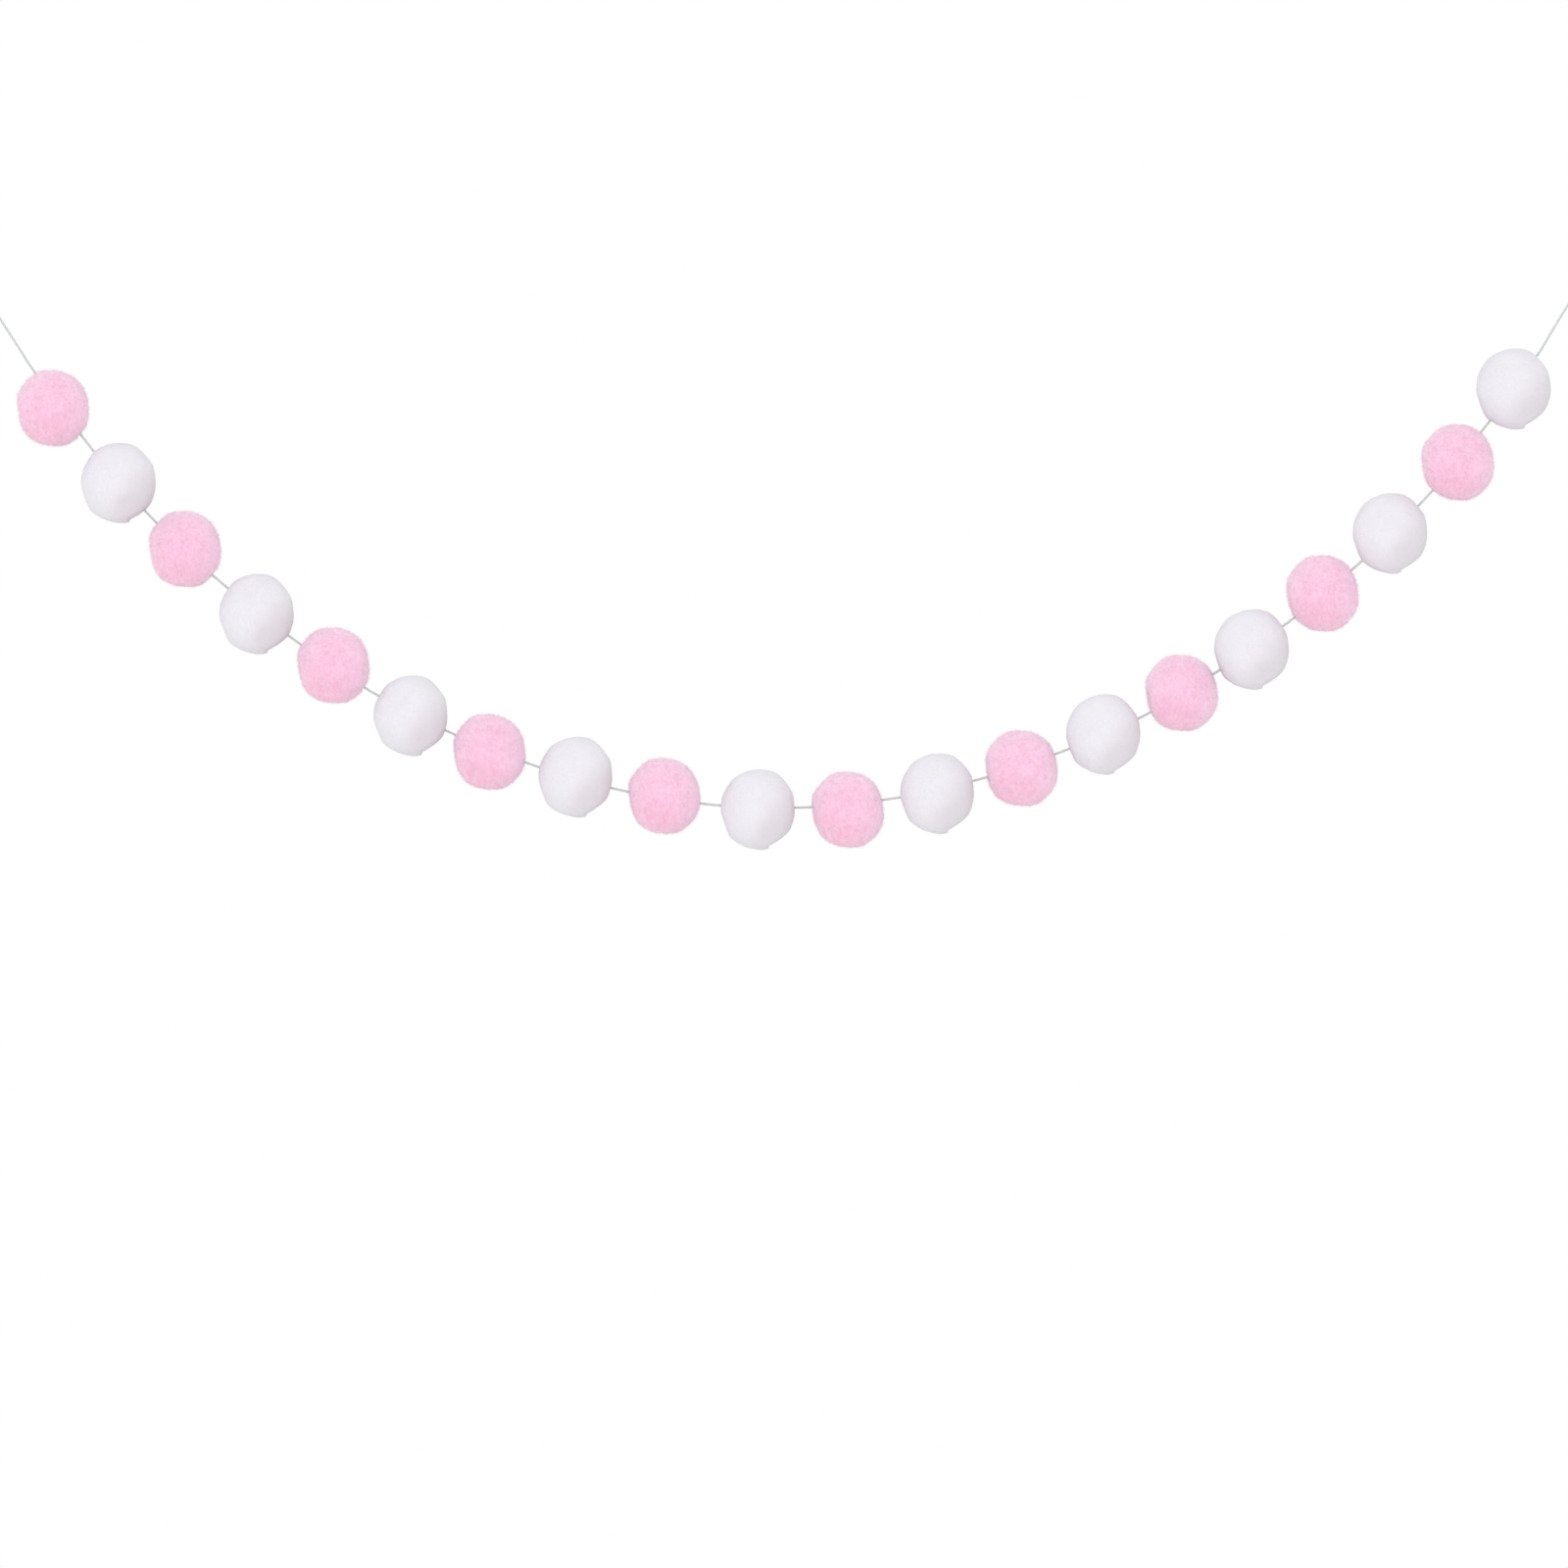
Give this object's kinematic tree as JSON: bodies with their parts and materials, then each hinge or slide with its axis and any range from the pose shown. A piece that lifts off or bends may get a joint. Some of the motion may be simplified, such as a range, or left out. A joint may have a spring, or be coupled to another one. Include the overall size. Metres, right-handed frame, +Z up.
{
  "type": "felt ball garland",
  "caption": "Garland of trimmed felt balls in pink and white by turns, threaded on a thin cotton string that hangs in a shallow curve from a knotted loop at each end.",
  "frame": {"origin": "where the left hanging loop bears on its hook: the inside of the loop's top, in the garland's middle plane", "axes": "+X to the right-hand loop, +Y away from the viewer and into the wall, +Z up; the garland hangs in the XZ plane"},
  "size_m": [0.5732, 0.0262, 0.2143],
  "materials": {
    "pink_felt": "matt brushed short-pile felt, candy pink, furry at the rim",
    "white_felt": "matt smooth felt, cool white",
    "cotton_string": "matt light-grey twisted cotton string"
  },
  "bodies": {
    "root": {"string": "cotton_string", "ball_01": "pink_felt", "ball_02": "white_felt", "ball_03": "pink_felt", "ball_04": "white_felt", "ball_05": "pink_felt", "ball_06": "white_felt", "ball_07": "pink_felt", "ball_08": "white_felt", "ball_09": "pink_felt", "ball_10": "white_felt", "ball_11": "pink_felt", "ball_12": "white_felt", "ball_13": "pink_felt", "ball_14": "white_felt", "ball_15": "pink_felt", "ball_16": "white_felt", "ball_17": "pink_felt", "ball_18": "white_felt", "ball_19": "pink_felt", "ball_20": "white_felt", "loop_left": "cotton_string", "loop_right": "cotton_string"}
  },
  "joints": []
}
